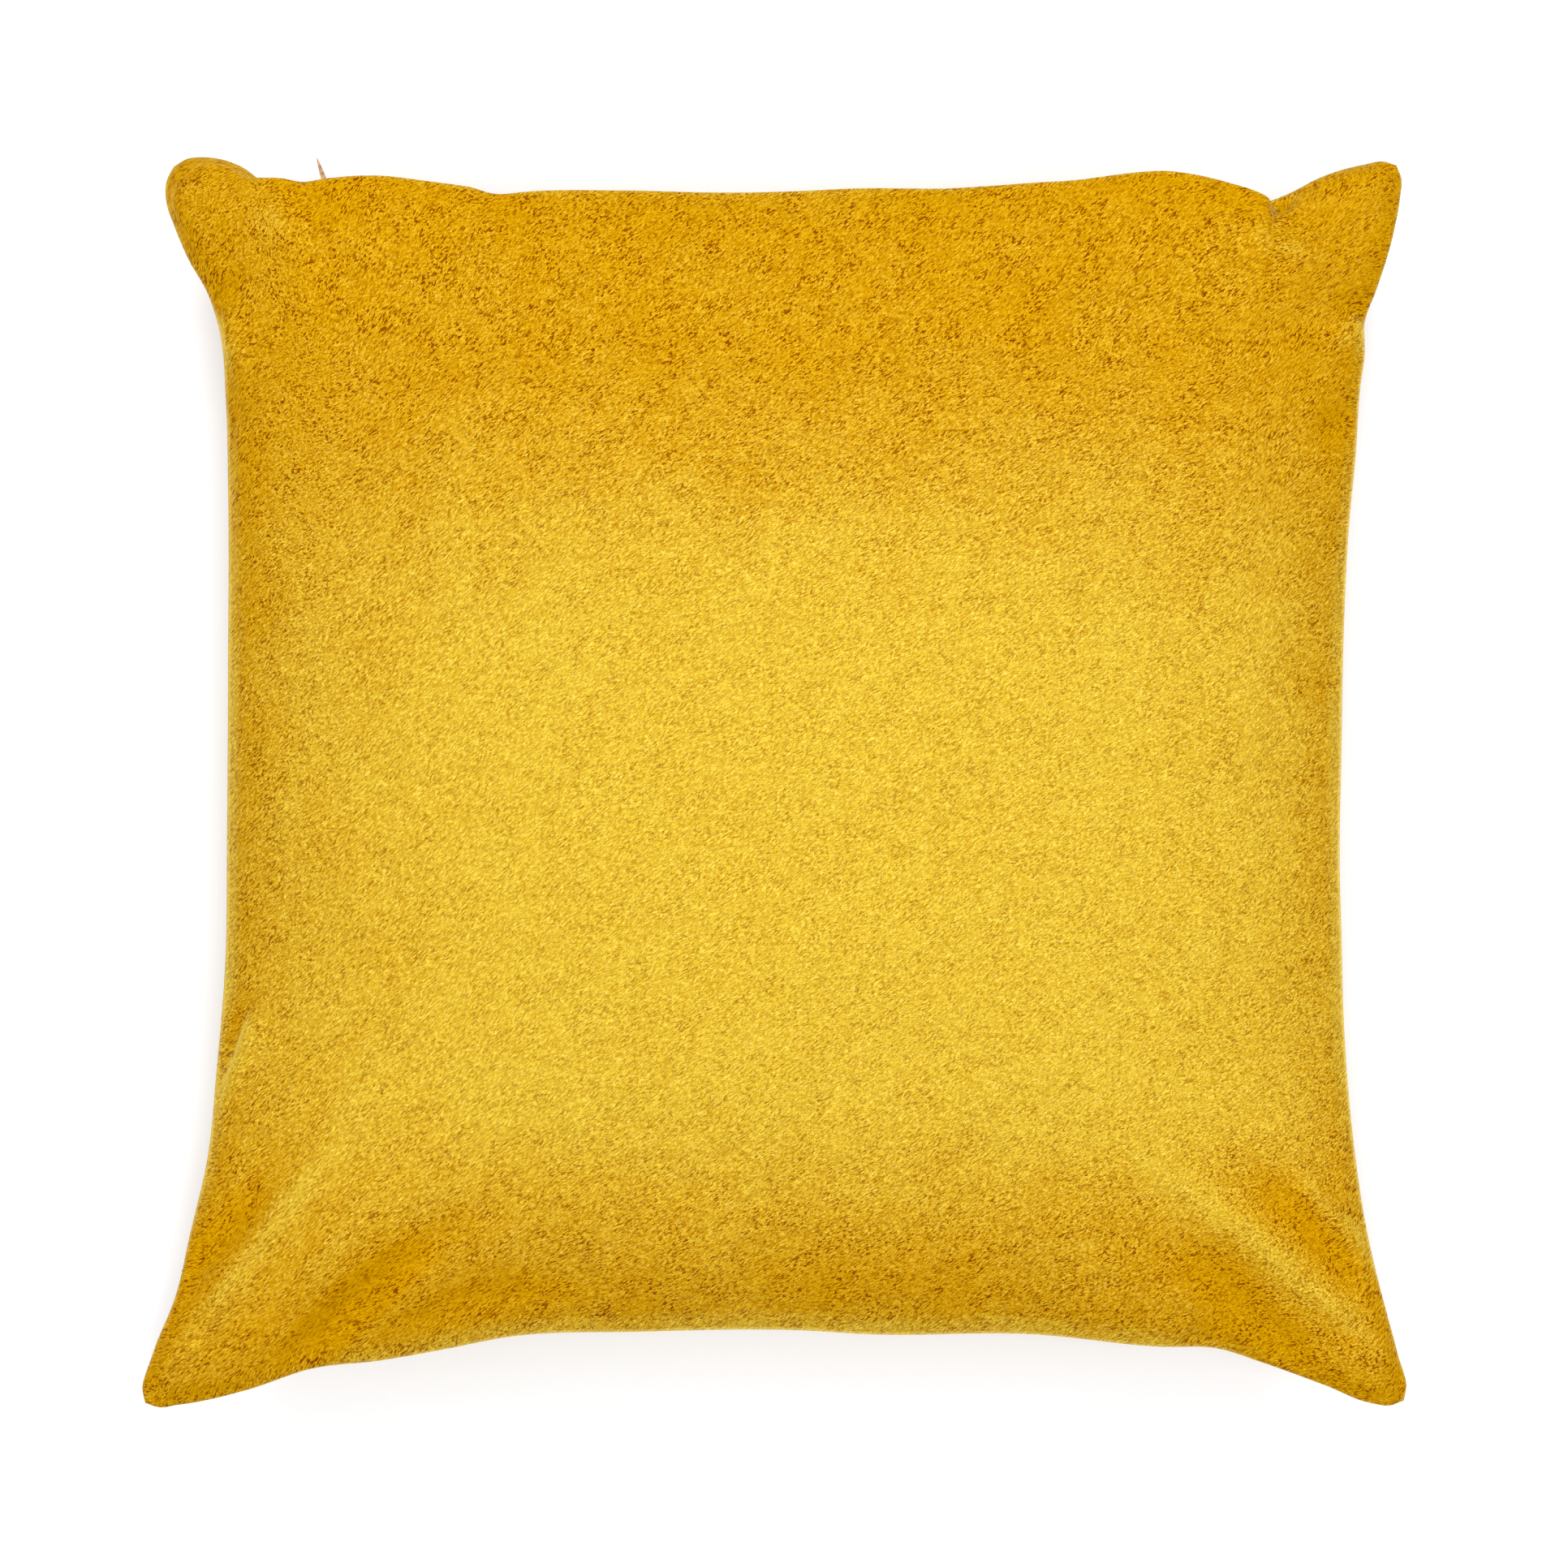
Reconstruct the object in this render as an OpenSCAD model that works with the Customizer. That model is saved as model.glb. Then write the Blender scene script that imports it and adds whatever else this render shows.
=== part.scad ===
// Throw pillow: a velvet cover with a concealed zip along one edge, round a stuffed insert.
// The pillow lies on its back. +Z is up, the zipped edge faces +Y, and Z = 0 is the surface it lies on.

/* [Cover] */
// Distance between the corner tips of the cover along X
tip_span_x = 507; // [460:1:560]
// Distance between the corner tips of the cover along Y
tip_span_y = 503; // [460:1:560]
// How far the zipped edge pulls in between its corner tips
sag_zip_edge = 22; // [12:0.5:26]
// How far the edge opposite the zip pulls in
sag_far_edge = 33; // [15:1:38]
// How far the left edge pulls in
sag_left_edge = 34; // [15:1:38]
// How far the right edge pulls in
sag_right_edge = 28; // [15:1:38]
// Height of the seam above the surface, between the corners
seam_z = 58; // [54:1:66]
// How much lower than the seam the corner tips lie
tip_drop = 10; // [6:1:14]
// Height of the front panel's crown above the seam
front_crown = 77; // [60:1:90]
// Depth that the back panel would have below the seam if nothing flattened it
back_crown = 74; // [68:1:84]
// Thickness of the velvet with its pile
velvet_t = 1.2; // [0.8:0.1:1.4]
// Width of the seam allowance that is turned inside
allowance = 12; // [10:0.5:12]

/* [Zip] */
// Length of the coil chain
chain_l = 380; // [300:5:382]
// Diameter of one coil
coil_d = 1.4; // [1.2:0.1:1.4]
// Thickness of the zip's tape
tape_t = 0.4; // [0.3:0.1:0.4]
// Length of the slider along the chain
slider_l = 9; // [8:0.5:11]
// Length of the pull tab from its pivot to its tip
pull_l = 16.5; // [12:0.5:18]
// Angle of the pull tab away from the edge's outward direction, towards the closed end
pull_lean = 18; // [0:1:40]

/* [Insert] */
// Size of the insert's outline as a share of the cover's
insert_share = 0.915; // [0.90:0.005:0.93]
// Thickness of the insert's casing cloth
casing_t = 0.6; // [0.4:0.1:0.8]
// Free space between one layer and the next
layer_gap = 0.6; // [0.5:0.1:0.8]

/* [Hidden] */

velvet_colour = [0.85, 0.62, 0.07];
thread_colour = [0.78, 0.56, 0.08];
tape_colour = [0.80, 0.58, 0.10];
pull_colour = [0.72, 0.57, 0.40];
casing_colour = [0.95, 0.94, 0.91];
fill_colour = [0.98, 0.98, 0.97];

// A place on the pillow is worked out on a square from -1 to 1, whose edges are the seam
tip_rounding = 2;                  // what the rounding takes off each tip
half_x = tip_span_x / 2 + tip_rounding;
half_y = tip_span_y / 2 + tip_rounding;
zip_tip_inset = 3;                 // the tips beside the zip stand this much closer to the middle
// Middle share of each edge that stays straight, from the middle of the edge towards its tips
straight_right = 0.25;
straight_zip = 0.81;
straight_left = 0.40;
straight_far = 0.15;
// Places along half an edge at which the outline has a point, for the cover and for the insert
cover_stations = [0, 0.25, 0.5, 0.7, 0.81, 0.86, 0.92, 0.97];
insert_stations = [0, 0.35, 0.62, 0.81, 0.94];
tip_stations = [0.25, 0.5, 0.75];  // points on the rounded tip

// Height of the pillow between its seams
fullness = 0.55;                   // 0.5 is an ellipse, and more is flatter towards the seam
drop_start = 0.81;                 // the corners begin to droop at this share of the half width
floor_round = 6;                   // half the height over which the back rounds onto the surface

// Rings of a panel from its crown to its seam, as shares of the outline
cover_rings = [0.16, 0.31, 0.46, 0.59, 0.71, 0.81, 0.89, 0.945, 0.98, 0.996, 1];
insert_rings = [0.2, 0.4, 0.57, 0.72, 0.84, 0.92, 0.975, 0.995, 1];

// Fold of the cloth at the seam. Depths are measured in from the seam, heights from its middle.
fold_in = 0.9;
fold_back = 2.3;
fold_root = 3.6;
stitch = 9.2;
half_gap = [0.12, 0.5];            // half the gap between the folds: plain seam, zip
lip_height = [1.3, 2.4];           // height at which the cloth turns in: plain seam, zip
allowance_z = [0.12, 3.4];         // height of the allowance's lower face: plain seam, zip

// Zip, in the section across the chain: depth in from the fold, and height from the middle
coil_depth = 3.85;
coil_offset = half_gap[1] + coil_d / 2;
tape_lower = 2.85;
tape_edge = 2.6;
tape_leg = 3.1;
tape_leg_low = 0.75;
tape_inner = 13;
tape_end = chain_l / 2 + 1;
travel_margin = 10;
slider_x = travel_margin - chain_l / 2;

thread_r = 0.22;
overlock_r = 0.45;
thread_sides = 6;
$fn = 48;

function lerp(a, b, t) = a + (b - a) * t;
function smooth(t) = let(c = min(max(t, 0), 1)) c * c * (3 - 2 * c);
function unit(v) = v / norm(v);
function pick(pair, share) = lerp(pair[0], pair[1], share);

// Share of an edge's sag at t along it
function bow(t, straight) = 1 - pow(max(0, (abs(t) - straight) / (1 - straight)), 2);

// Where a place on the square lies in the plan
function plan_raw(q) =
    let(sag_x = q.x > 0 ? sag_right_edge * bow(q.y, straight_right) : sag_left_edge * bow(q.y, straight_left),
        sag_y = q.y > 0 ? sag_zip_edge * bow(q.x, straight_zip) : sag_far_edge * bow(q.x, straight_far))
    [q.x * (half_x - zip_tip_inset * (1 + q.y) / 2 - sag_x * q.x * q.x), q.y * (half_y - sag_y * q.y * q.y)];

function mirrored(stations) = concat(
    [for (i = [len(stations) - 1:-1:1]) -stations[i]], stations);

// Place at t along edge e of the square. The edges run anticlockwise from the right one.
function on_edge(e, t) = [[1, t], [-t, 1], [-1, -t], [t, -1]][e];

// The seam as places on the square, with rounded tips
function seam_places(stations) =
    let(last = stations[len(stations) - 1])
    [for (e = [0:3])
        let(a = on_edge(e, last), c = on_edge(e, 1), b = on_edge((e + 1) % 4, -last))
        each concat(
            [for (t = mirrored(stations)) on_edge(e, t)],
            [for (t = tip_stations) lerp(lerp(a, c, t), lerp(c, b, t), t)])];

cover_seam = seam_places(cover_stations);
insert_seam = seam_places(insert_stations);
function middle(values) = (min(values) + max(values)) / 2;
plan_centre = [
    middle([for (q = cover_seam) plan_raw(q).x]), middle([for (q = cover_seam) plan_raw(q).y])
];
function plan(q) = plan_raw(q) - plan_centre;

lip_y = plan([0, 1]).y;            // the zip's folds
left_x = plan([-1, 0]).x;          // the seam at the middle of the left edge
mean_r = lip_y;                    // turns a depth from the seam into a share of the outline

function dome(q) = pow(max(0, (1 - q.x * q.x) * (1 - q.y * q.y)), fullness);
function droop(t) = smooth((abs(t) - drop_start) / (1 - drop_start));
function seam_height(q) = seam_z - tip_drop * droop(q.x) * droop(q.y);

// The back rounds onto the surface and is flat where it rests
function rested(z, floor_z) =
    let(h = z - floor_z)
    h >= floor_round ? z
    : h <= -floor_round ? floor_z
    : floor_z + pow(h + floor_round, 2) / (4 * floor_round);

// How far a place on the seam belongs to the zip, from 0 to 1
function zip_share(q) = q.y >= 1 && abs(q.x) < 0.83 ? 1 : 0;

// Ring of one face of a panel. side is 1 for the front and -1 for the back.
function dome_ring(seam, share, size, side, crown, lip, floor_z) =
    [for (edge = seam)
        let(q = edge * share, p = plan(q) * size,
            z = seam_height(q * size) + side * lerp(pick(lip, zip_share(edge)), crown, dome(q)))
        [p.x, p.y, rested(z, floor_z)]];

// Ring of the fold or the allowance, at a depth in from the seam and a height from its middle
function fold_ring(seam, depth, size, side, height) =
    [for (edge = seam)
        let(share = size - depth / mean_r, p = plan(edge) * share)
        [p.x, p.y, seam_height(edge * share) + side * pick(height, zip_share(edge))]];

// The same rings, up to the fold's root, moved in by the cloth's thickness, square to the surface
function inner_rings(rings, thickness, side) =
    let(n = len(rings[0]))
    [for (k = [len(rings) - 3:-1:0])
        [for (i = [0:n - 1])
            let(along = rings[k][(i + 1) % n] - rings[k][(i + n - 1) % n],
                out = rings[k + 1][i] - (k == 0 ? [0, 0, rings[0][0].z] : rings[k - 1][i]))
            rings[k][i] - unit(cross(out, along)) * thickness * side]];

function raised(pair, rise) = [pair[0] + rise, pair[1] + rise];

// Faces of rings joined in order, closed by a point at each end. From ring back_at on, the quads are
// cut along their other diagonal, so that the two faces of a cloth are cut alike.
function ring_faces(rings, n, back_at) = concat(
    [for (i = [0:n - 1]) [0, 1 + (i + 1) % n, 1 + i]],
    [for (k = [0:rings - 2], i = [0:n - 1])
        let(a = 1 + k * n + i, b = 1 + k * n + (i + 1) % n)
        each k < back_at ? [[a, b, b + n], [a, b + n, a + n]] : [[a, b, a + n], [b, b + n, a + n]]],
    [for (i = [0:n - 1])
        let(base = 1 + (rings - 1) * n)
        [base + i, base + (i + 1) % n, 1 + rings * n]]);

function turned(faces) = [for (f = faces) [f[2], f[1], f[0]]];

module ring_solid(rings, first, last, side, back_at) {
    points = concat([first], [for (r = rings) each r], [last]);
    faces = ring_faces(len(rings), len(rings[0]), back_at);
    polyhedron(points = points, faces = side > 0 ? faces : turned(faces), convexity = 8);
}

// One cloth panel: its outer face, the fold at the seam, the allowance and its inner face
module panel(side, seam, shares, size, crown, thickness, floor_z, lip, gap, low, width, stitch) {
    outer = [for (s = shares) dome_ring(seam, s, size, side, crown, lip, floor_z)];
    fold = [
        fold_ring(seam, fold_in, size, side, gap),
        fold_ring(seam, fold_back, size, side, gap),
        fold_ring(seam, fold_back + 0.3, size, side, low),
        fold_ring(seam, stitch, size, side, low),
        fold_ring(seam, width, size, side, low),
        fold_ring(seam, width, size, side, raised(low, thickness)),
        fold_ring(seam, stitch, size, side, raised(low, thickness)),
        fold_ring(seam, fold_root, size, side, raised(low, thickness))
    ];
    inner = inner_rings(outer, thickness, side);
    top = rested(seam_z + side * crown, floor_z);
    ring_solid(concat(outer, fold, inner), [0, 0, top], [0, 0, top - side * thickness], side,
        len(outer) + len(fold) - 1);
}

module cover_panel(side) {
    color(velvet_colour)
        panel(side, cover_seam, cover_rings, 1, side > 0 ? front_crown : back_crown,
            velvet_t, 0, lip_height, half_gap, allowance_z, allowance, stitch);
}

module front_panel() cover_panel(1);

module back_panel() cover_panel(-1);

// A run of thread that follows the points of a path. A closed run joins its own start.
module thread_run(path, r, closed = false) {
    n = len(path);
    rings = [for (i = [0:n - 1])
        let(a = path[closed ? (i + n - 1) % n : max(i - 1, 0)],
            b = path[closed ? (i + 1) % n : min(i + 1, n - 1)],
            out = unit(cross(b - a, [0, 0, 1])))
        [for (s = [0:thread_sides - 1])
            let(t = 360 * s / thread_sides)
            path[i] + r * (out * cos(t) + [0, 0, 1] * sin(t))]];
    walls = [for (i = [0:n - (closed ? 1 : 2)], s = [0:thread_sides - 1])
        let(a = i * thread_sides + s, b = i * thread_sides + (s + 1) % thread_sides,
            c = ((i + 1) % n) * thread_sides + s,
            d = ((i + 1) % n) * thread_sides + (s + 1) % thread_sides)
        each [[a, b, d], [a, d, c]]];
    ends = closed ? [] : concat(
        [for (s = [1:thread_sides - 2]) [0, s + 1, s]],
        [for (s = [1:thread_sides - 2])
            let(e = (n - 1) * thread_sides) [e, e + s, e + s + 1]]);
    polyhedron(points = [for (r = rings) each r], faces = concat(walls, ends), convexity = 8);
}

// The seam beside the zip, from one end of the zip round the other three edges to its other end
function around_from_zip(seam) =
    let(n = len(seam), starts = [for (i = [0:n - 1])
        if (zip_share(seam[i]) == 1 && zip_share(seam[(i + 1) % n]) == 0) i])
    [for (i = [1:n - 1])
        let(edge = seam[(starts[0] + i) % n])
        if (zip_share(edge) == 0) edge];

module seam_thread() {
    surface = allowance_z[0] + velvet_t + thread_r + 0.1;
    color(thread_colour)
        for (side = [1, -1])
            thread_run(fold_ring(around_from_zip(cover_seam), stitch, 1, side, [surface, surface]), thread_r);
}

// A closed path moved square to itself in the plan, towards the inside
function inset(path, distance) =
    let(n = len(path))
    [for (i = [0:n - 1])
        let(p = path[i], a = path[(i + n - 1) % n], b = path[(i + 1) % n],
            u = unit([p.x - a.x, p.y - a.y]), v = unit([b.x - p.x, b.y - p.y]),
            half = unit([-u.y - v.y, u.x + v.x]),
            move = half * distance / max(0.3, half * [-u.y, u.x]))
        [p.x + move.x, p.y + move.y, p.z]];

module overlock_thread(side) {
    cut_edge = fold_ring(cover_seam, allowance, 1, side, raised(allowance_z, velvet_t / 2));
    color(thread_colour)
        thread_run(inset(cut_edge, overlock_r + 0.15), overlock_r, true);
}

module overlock_thread_front() overlock_thread(1);

module overlock_thread_back() overlock_thread(-1);

// Label sewn to the allowance of the left edge, standing up between the cover and the insert.
// Its section runs along the allowance, then rises inwards.
module care_label() {
    label_w = 38;
    label_t = 0.3;
    label_y = -70;
    low = allowance_z[0] + velvet_t + 0.3;
    run = [[9.9, low], [11.2, low], [14, 11.5], [16, 16.5], [20, 23], [28, 30.5], [36, 36]];
    color(casing_colour)
        translate([left_x, label_y + label_w / 2, seam_z])
            rotate([90, 0, 0])
                linear_extrude(label_w)
                    polygon(concat(run, [for (i = [len(run) - 1:-1:0]) run[i] + [-label_t * 0.6, label_t]]));
}

// Places what is drawn in the zip's section: x is the depth in from the folds, y the height
module along_zip(x0, length) {
    translate([x0, lip_y, seam_z])
        rotate([90, 0, 90])
            mirror([1, 0, 0])
                linear_extrude(length)
                    children();
}

module zip_tape(side) {
    top = tape_lower + tape_t;
    color(tape_colour)
        along_zip(-tape_end, 2 * tape_end)
            scale([1, side])
                polygon([
                    [tape_edge, tape_leg_low], [tape_leg, tape_leg_low], [tape_leg, tape_lower],
                    [tape_inner, tape_lower], [tape_inner, top], [tape_edge, top]
                ]);
}

module zip_tape_front() zip_tape(1);

module zip_tape_back() zip_tape(-1);

// Places something along X with its axis on the coil of one side
module on_coil(side, x0) {
    translate([x0, lip_y - coil_depth, seam_z + side * coil_offset])
        rotate([0, 90, 0])
            children();
}

module zip_coil(side) {
    color(tape_colour)
        on_coil(side, -chain_l / 2)
            cylinder(d = coil_d, h = chain_l);
}

module zip_coil_front() zip_coil(1);

module zip_coil_back() zip_coil(-1);

// Two rows of thread, above the allowance and below the tape
module zip_thread(side) {
    depth = 8;
    heights = [tape_lower - thread_r - 0.05, allowance_z[1] + velvet_t + thread_r + 0.05];
    color(thread_colour)
        for (h = heights)
            translate([2 - tape_end, lip_y - depth, seam_z + side * h])
                rotate([0, 90, 0])
                    cylinder(r = thread_r, h = 2 * tape_end - 4);
}

module zip_thread_front() zip_thread(1);

module zip_thread_back() zip_thread(-1);

// A stop is a small block closed round one coil, or round both
module zip_stop(x0, length, low, high, sides) {
    color(pull_colour)
        difference() {
            along_zip(x0, length)
                translate([tape_leg + 0.05, low])
                    square([1.8, high - low]);
            for (side = sides)
                on_coil(side, x0 - 1)
                    cylinder(d = coil_d + 0.04, h = length + 2);
        }
}

stop_high = 2.3;
stop_low = half_gap[1] - 0.1;
stop_l = 2;

top_stop_x = slider_x - slider_l / 2 - 0.4 - stop_l;

module zip_top_stop_front() zip_stop(top_stop_x, stop_l, stop_low, stop_high, [1]);

module zip_top_stop_back() zip_stop(top_stop_x, stop_l, -stop_high, -stop_low, [-1]);

module zip_bottom_stop() zip_stop(chain_l / 2 - 1 - stop_l, stop_l, -stop_high, stop_high, [1, -1]);

// Slider: a channel behind the coils, a post between them and a crown outside the folds
channel_top = coil_depth - 0.5;
channel_floor = coil_depth + coil_d / 2 + 0.2;
channel_base = channel_floor + 0.85;
wall_low = coil_offset + coil_d / 2 + 0.15;
wall_high = wall_low + 0.6;
post_half_t = 0.32;
post_l = 3.2;
crown_inner = -0.35;
crown_outer = -0.95;
crown_l = 7;
pivot_out = 2.6;
pivot_bore_r = 0.58;
pivot_pin_r = 0.5;
bridge_half_t = 0.6;
bridge_r = 1.4;

module zip_slider_body() {
    color(pull_colour)
        union() {
            along_zip(slider_x - slider_l / 2, slider_l)
                difference() {
                    translate([channel_top, -wall_high])
                        square([channel_base - channel_top, 2 * wall_high]);
                    translate([channel_top - 1, -wall_low])
                        square([channel_floor - channel_top + 1, 2 * wall_low]);
                }
            along_zip(slider_x - post_l / 2, post_l)
                translate([crown_inner, -post_half_t])
                    square([channel_floor - crown_inner, 2 * post_half_t]);
            along_zip(slider_x - crown_l / 2, crown_l)
                translate([crown_outer, -1.5])
                    square([crown_inner - crown_outer, 3]);
        }
}

// Places what is drawn in plan at the pivot, turned so that its y runs outwards
module at_pivot() {
    translate([slider_x, lip_y + pivot_out, seam_z])
        children();
}

module zip_slider_bridge() {
    foot = crown_outer + pivot_out;
    color(pull_colour)
        at_pivot()
            translate([0, 0, -bridge_half_t])
                linear_extrude(2 * bridge_half_t)
                    difference() {
                        union() {
                            circle(r = bridge_r);
                            polygon([
                                [-3, -foot], [3, -foot], [3, -foot + 0.5],
                                [bridge_r, 0], [-bridge_r, 0], [-3, -foot + 0.5]
                            ]);
                        }
                        circle(r = pivot_bore_r);
                    }
}

// Pull tab: a teardrop in one view and a leaf in the other, on a crossbar that turns in the bridge
module zip_pull_tab() {
    root_half_w = 2.1;
    end_r = 2.5;
    half_t = 1;
    leaf_half_l = 11;
    leaf_r = (leaf_half_l * leaf_half_l + half_t * half_t) / (2 * half_t);
    leaf_centre = 5.5;
    window_half_w = 0.9;
    window_end = 3.2;
    color(pull_colour)
        at_pivot()
            rotate([0, 0, pull_lean])
                union() {
                    difference() {
                        intersection() {
                            translate([0, leaf_centre, -4])
                                linear_extrude(8)
                                    intersection() {
                                        translate([leaf_r - half_t, 0]) circle(r = leaf_r, $fn = 180);
                                        translate([half_t - leaf_r, 0]) circle(r = leaf_r, $fn = 180);
                                    }
                            rotate([0, -90, 0])
                                linear_extrude(4, center = true)
                                    union() {
                                        translate([0, pull_l - end_r]) circle(r = end_r);
                                        polygon([
                                            [-root_half_w, -pivot_pin_r], [root_half_w, -pivot_pin_r],
                                            [end_r, pull_l - end_r], [-end_r, pull_l - end_r]
                                        ]);
                                    }
                        }
                        translate([-2, -2, -window_half_w])
                            cube([4, 2 + window_end, 2 * window_half_w]);
                    }
                    translate([0, 0, -root_half_w])
                        cylinder(r = pivot_pin_r, h = 2 * root_half_w);
                }
}

// Insert: its casing is cut like the cover and nests inside it
insert_allowance = 7;
insert_stitch = 5;
insert_gap = [0.1, 0.1];
insert_lip = [0.7, 0.7];
insert_floor = velvet_t + layer_gap;
nest = velvet_t + layer_gap;

module insert_casing(side) {
    color(casing_colour)
        panel(side, insert_seam, insert_rings, insert_share,
            (side > 0 ? front_crown : back_crown) - nest, casing_t, insert_floor,
            insert_lip, insert_gap, insert_gap, insert_allowance, insert_stitch);
}

module insert_casing_front() insert_casing(1);

module insert_casing_back() insert_casing(-1);

module insert_seam_thread() {
    surface = insert_gap[0] + casing_t + thread_r + 0.1;
    color(casing_colour)
        for (side = [1, -1])
            thread_run(fold_ring(insert_seam, insert_stitch, insert_share, side, [surface, surface]),
                thread_r, true);
}

module insert_fill() {
    size = insert_share - (insert_allowance + 1.5) / mean_r;
    inset = nest + casing_t + layer_gap;
    floor_z = insert_floor + casing_t + layer_gap;
    shares = [0.22, 0.42, 0.6, 0.76, 0.88, 0.95, 0.99];
    lip = [1.5, 1.5];
    front = [for (s = shares) dome_ring(insert_seam, s, size, 1, front_crown - inset, lip, floor_z)];
    back = [for (k = [len(shares) - 1:-1:0])
        dome_ring(insert_seam, shares[k], size, -1, back_crown - inset, lip, floor_z)];
    color(fill_colour)
        ring_solid(concat(front, back), [0, 0, seam_z + front_crown - inset], [0, 0, floor_z], 1,
            len(shares));
}

front_panel();
back_panel();
seam_thread();
overlock_thread_front();
overlock_thread_back();
care_label();
zip_tape_front();
zip_tape_back();
zip_coil_front();
zip_coil_back();
zip_thread_front();
zip_thread_back();
zip_top_stop_front();
zip_top_stop_back();
zip_bottom_stop();
zip_slider_body();
zip_slider_bridge();
zip_pull_tab();
insert_casing_front();
insert_casing_back();
insert_seam_thread();
insert_fill();
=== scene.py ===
"""The looks of the throw pillow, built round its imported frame. Lengths are in metres."""

import math

import bpy
import numpy as np
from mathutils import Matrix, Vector, noise
from mathutils.bvhtree import BVHTree


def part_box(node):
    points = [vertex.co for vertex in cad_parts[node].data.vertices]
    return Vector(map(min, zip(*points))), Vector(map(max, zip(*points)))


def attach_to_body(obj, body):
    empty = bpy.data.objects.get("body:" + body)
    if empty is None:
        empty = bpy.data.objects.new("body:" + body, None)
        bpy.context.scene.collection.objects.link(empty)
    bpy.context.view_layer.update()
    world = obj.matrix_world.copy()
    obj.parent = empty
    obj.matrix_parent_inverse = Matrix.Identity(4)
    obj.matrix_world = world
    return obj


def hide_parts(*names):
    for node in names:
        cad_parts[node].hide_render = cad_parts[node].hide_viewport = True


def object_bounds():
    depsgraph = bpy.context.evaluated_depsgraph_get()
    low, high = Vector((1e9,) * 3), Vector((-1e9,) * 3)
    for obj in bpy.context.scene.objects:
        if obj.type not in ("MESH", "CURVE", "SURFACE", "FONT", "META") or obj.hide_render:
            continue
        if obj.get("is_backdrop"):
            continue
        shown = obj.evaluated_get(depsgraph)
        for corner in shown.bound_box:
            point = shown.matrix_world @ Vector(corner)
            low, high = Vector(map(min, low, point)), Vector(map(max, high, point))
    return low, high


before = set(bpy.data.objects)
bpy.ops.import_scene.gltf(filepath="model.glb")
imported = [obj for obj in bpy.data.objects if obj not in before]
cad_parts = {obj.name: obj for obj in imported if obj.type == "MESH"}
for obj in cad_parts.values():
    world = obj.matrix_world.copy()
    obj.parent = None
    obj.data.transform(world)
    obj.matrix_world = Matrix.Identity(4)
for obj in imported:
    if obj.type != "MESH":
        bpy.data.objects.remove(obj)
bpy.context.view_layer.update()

MM = 0.001
PILLOW = "pillow"
scene = bpy.context.scene

# ---------------------------------------------------------------- sizes

FLAT = 0.508                      # the cover's seam to seam, before it is stuffed
ALLOWANCE = 0.012
SEAM_Z = 0.058                    # the seam above the surface, between the corners
TIP_DROP = 0.010                  # how much lower the corner tips lie
VELVET_T = 0.0012
CASING_T = 0.0006
ZIP_Y = float(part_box("zip_slider_body")[1].y) - 0.00095   # the zip's folds
ZIP_END = 0.196                   # the zip's folds run this far each way
CHAIN = 0.190                     # half the chain's length
INSERT_SHARE = 0.915
CELLS = 80                        # cells along a side of the simulated cloth
FINER = 3                         # each of those cells is cut into this many
FRAMES = 30
FRONT_CROWN, BACK_CROWN = 0.077, 0.074   # how far the cloth stands out before it is simulated
PRESSURE = 15.0                   # of the stuffing on the simulated cloth
TIP_X, TIP_Y = 0.253, 0.251       # half the span of the corner tips
TIP_START = 0.81                  # the edges begin to drop at this share of the way to the tips
LIP = 0.0013                      # the panels' folds stand this far from the seam's middle
ZIP_LIP = 0.0011                  # and this much further beside the zip
SLACK = 0.0016                    # free space between one layer and the next

# The seam from above, in millimetres. Each edge goes from one tip to the next.
TIP_TL, TIP_TR, TIP_BL, TIP_BR = (-244, 248.5), (251.6, 249.3), (-252, -249.5), (251, -248.5)
SEAM_TOP = [
    TIP_TL, (-241, 250.8), (-235.5, 251.8), (-224, 250.5), (-213, 245.5), (-204, 237.5),
    (-196, 232.4), (-150, 232.4), (0, 232.4), (150, 232.4), (198, 232.4), (207, 236), (219, 242.5), (232, 247.5),
    (242, 250), (248, 250.9), TIP_TR,
]
SEAM_BOTTOM = [
    TIP_BL, (-248.5, -251), (-238, -250), (-210, -243.5), (-184, -235), (-158, -232), (-132, -227.5),
    (-106, -222.5), (-54, -220.5), (11, -220), (37, -221.5), (102, -221.5), (154, -226.5), (175, -227), (193, -232.5),
    (219, -242), (238, -249.5), (247, -250.3), TIP_BR,
]
SEAM_LEFT = [
    TIP_BL, (-253, -246), (-249, -231), (-239, -207), (-233, -181), (-226.5, -152), (-223, -116), (-220, -77),
    (-219.5, -20), (-219.5, 40), (-220, 118), (-221, 150), (-224.5, 183), (-229, 196), (-236.5, 209),
    (-242.3, 222), (-247, 236), (-247, 242), TIP_TL,
]
SEAM_RIGHT = [
    TIP_BR, (252, -244), (248.5, -231), (241.5, -207), (235.5, -181), (230, -142), (227, -103), (226, -60),
    (225.5, -35), (226.5, 10), (228, 65), (230, 100), (233, 130), (235, 157), (237, 172),
    (237, 184), (241.5, 196), (249.7, 222), (253, 238), (253.4, 245), TIP_TR,
]

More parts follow.
